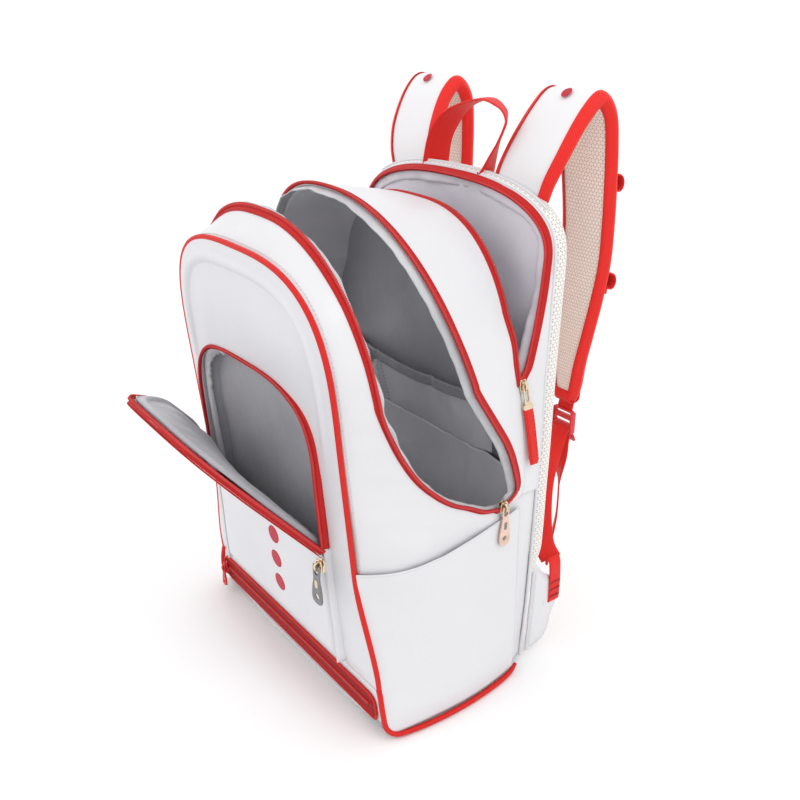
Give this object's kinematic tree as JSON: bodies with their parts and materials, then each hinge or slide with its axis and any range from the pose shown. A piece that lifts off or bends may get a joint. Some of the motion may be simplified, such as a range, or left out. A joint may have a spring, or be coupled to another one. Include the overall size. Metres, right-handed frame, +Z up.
{
  "type": "racket backpack",
  "caption": "Tall coated-fabric racket backpack standing open: arched front section, zipped front pocket, slip side pockets, padded shoulder straps and a webbing haul loop.",
  "frame": {"origin": "centre of the base on the floor, midway between the side walls", "axes": "+Z up, -Y towards the front pocket, +X towards the right slip pocket as seen from the front"},
  "size_m": [0.3086, 0.4007, 0.5145],
  "materials": {
    "white": "smooth coated fabric, soft sheen",
    "red": "woven tape",
    "grey": "satin lining",
    "cream": "knitted air mesh",
    "gold": "pale gold plate",
    "steel": "dark nickel",
    "red_plastic": "moulded acetal"
  },
  "bodies": {
    "shell": {"base_panel": "white", "side_wall_r": "white", "side_wall_l": "white", "front_lip": "white", "shoe_zip": "red", "side_zips": "red", "side_pipings": "red", "side_pocket_r": "white", "side_pocket_l": "white", "back_panel": "white", "back_lining": "grey", "back_mesh": "cream", "rear_gusset": "white", "rear_zip_back": "red", "corner_wings": "white", "corner_tabs": "red", "lower_divider": "grey", "lower_webbings": "red"},
    "front_section": {"front_panel": "white", "pocket_bag": "grey", "pocket_front": "white", "pocket_zip": "red", "front_piping": "red", "front_gusset": "white", "main_zip_front": "red", "front_lining": "grey"},
    "pocket_flap": {"flap_panel": "white", "flap_lining": "grey", "flap_zip": "red"},
    "middle_section": {"mid_band": "white", "main_zip_rear": "red", "rear_zip_front": "red", "mid_divider": "grey", "mid_lining": "grey", "sleeve": "grey", "label_tab": "white"},
    "main_slider_right": {"main_slider_r": "gold"},
    "main_pull_right": {"main_pull_r": "gold"},
    "main_slider_left": {"main_slider_l": "gold"},
    "main_pull_left": {"main_pull_l": "gold"},
    "rear_slider": {"rear_slider_r": "gold"},
    "rear_pull": {"rear_pull_r": "gold", "rear_pull_tape_r": "red"},
    "front_pocket_slider": {"pocket_slider": "gold"},
    "front_pocket_pull": {"pocket_pull": "steel"},
    "base_slider": {"shoe_slider": "steel"},
    "base_pull": {"shoe_pull": "steel"},
    "strap_right": {"strap_r": "white", "strap_mesh_r": "cream", "strap_binding_r": "red", "strap_loops_r": "red"},
    "ladder_lock_right": {"lock_r": "red_plastic"},
    "tail_right": {"tail_r": "red"},
    "strap_left": {"strap_l": "white", "strap_mesh_l": "cream", "strap_binding_l": "red", "strap_loops_l": "red"},
    "ladder_lock_left": {"lock_l": "red_plastic"},
    "tail_left": {"tail_l": "red"},
    "haul": {"haul_loop": "red"}
  },
  "joints": [
    {"name": "front_fold", "type": "hinge", "parent": "shell", "child": "front_section", "pos_m": [0, -0.08, 0.05], "axis": [-1, 0, 0], "range_deg": [0, 9]},
    {"name": "middle_fold", "type": "hinge", "parent": "shell", "child": "middle_section", "pos_m": [0, 0.072, 0.25], "axis": [-1, 0, 0], "range_deg": [0, 6]},
    {"name": "flap_fold", "type": "hinge", "parent": "front_section", "child": "pocket_flap", "pos_m": [0, -0.101, 0.175], "axis": [-1, 0, 0], "range_deg": [0, 15]},
    {"name": "main_slider_right_run", "type": "slide", "parent": "shell", "child": "main_slider_right", "axis": [0, -0.8944, 0.4472], "range_m": [0, 0.022]},
    {"name": "main_pull_right_swing", "type": "hinge", "parent": "main_slider_right", "child": "main_pull_right", "pos_m": [0.15245, 0.046, 0.19], "axis": [0, -1, 0], "range_deg": [0, 120]},
    {"name": "main_slider_left_run", "type": "slide", "parent": "shell", "child": "main_slider_left", "axis": [0, -0.8944, 0.4472], "range_m": [0, 0.022]},
    {"name": "main_pull_left_swing", "type": "hinge", "parent": "main_slider_left", "child": "main_pull_left", "pos_m": [-0.15245, 0.046, 0.19], "axis": [0, 1, 0], "range_deg": [0, 120]},
    {"name": "rear_slider_run", "type": "slide", "parent": "shell", "child": "rear_slider", "axis": [0, 0, 1], "range_m": [0, 0.016]},
    {"name": "rear_pull_swing", "type": "hinge", "parent": "rear_slider", "child": "rear_pull", "pos_m": [0.13327, 0.08, 0.28746], "axis": [0, -1, 0], "range_deg": [0, 100]},
    {"name": "pocket_slider_run", "type": "slide", "parent": "front_section", "child": "front_pocket_slider", "axis": [0, -0.0599, 0.9982], "range_m": [0, 0.016]},
    {"name": "pocket_pull_swing", "type": "hinge", "parent": "front_pocket_slider", "child": "front_pocket_pull", "pos_m": [0.1009, -0.11165, 0.169], "axis": [-1, 0, 0], "range_deg": [0, 120]},
    {"name": "base_slider_run", "type": "slide", "parent": "shell", "child": "base_slider", "axis": [1, 0, 0], "range_m": [0, 0.26]},
    {"name": "base_pull_swing", "type": "hinge", "parent": "base_slider", "child": "base_pull", "pos_m": [-0.13, -0.08675, 0.03], "axis": [-1, 0, 0], "range_deg": [0, 120]},
    {"name": "strap_right_lift", "type": "hinge", "parent": "shell", "child": "strap_right", "pos_m": [0, 0.119, 0.438], "axis": [1, 0, 0], "range_deg": [0, 8]},
    {"name": "lock_right_tilt", "type": "hinge", "parent": "strap_right", "child": "ladder_lock_right", "pos_m": [0, 0.1885, 0.2205], "axis": [1, 0, 0], "range_deg": [-2, 25]},
    {"name": "tail_right_swing", "type": "hinge", "parent": "ladder_lock_right", "child": "tail_right", "pos_m": [0, 0.186, 0.194], "axis": [1, 0, 0], "range_deg": [-4, 26]},
    {"name": "strap_left_lift", "type": "hinge", "parent": "shell", "child": "strap_left", "pos_m": [0, 0.119, 0.438], "axis": [1, 0, 0], "range_deg": [0, 8]},
    {"name": "lock_left_tilt", "type": "hinge", "parent": "strap_left", "child": "ladder_lock_left", "pos_m": [0, 0.1885, 0.2205], "axis": [1, 0, 0], "range_deg": [-2, 25]},
    {"name": "tail_left_swing", "type": "hinge", "parent": "ladder_lock_left", "child": "tail_left", "pos_m": [0, 0.186, 0.194], "axis": [1, 0, 0], "range_deg": [-4, 26]},
    {"name": "haul_tilt", "type": "hinge", "parent": "shell", "child": "haul", "pos_m": [0, 0.126, 0.447], "axis": [1, 0, 0], "range_deg": [-60, 20]}
  ]
}
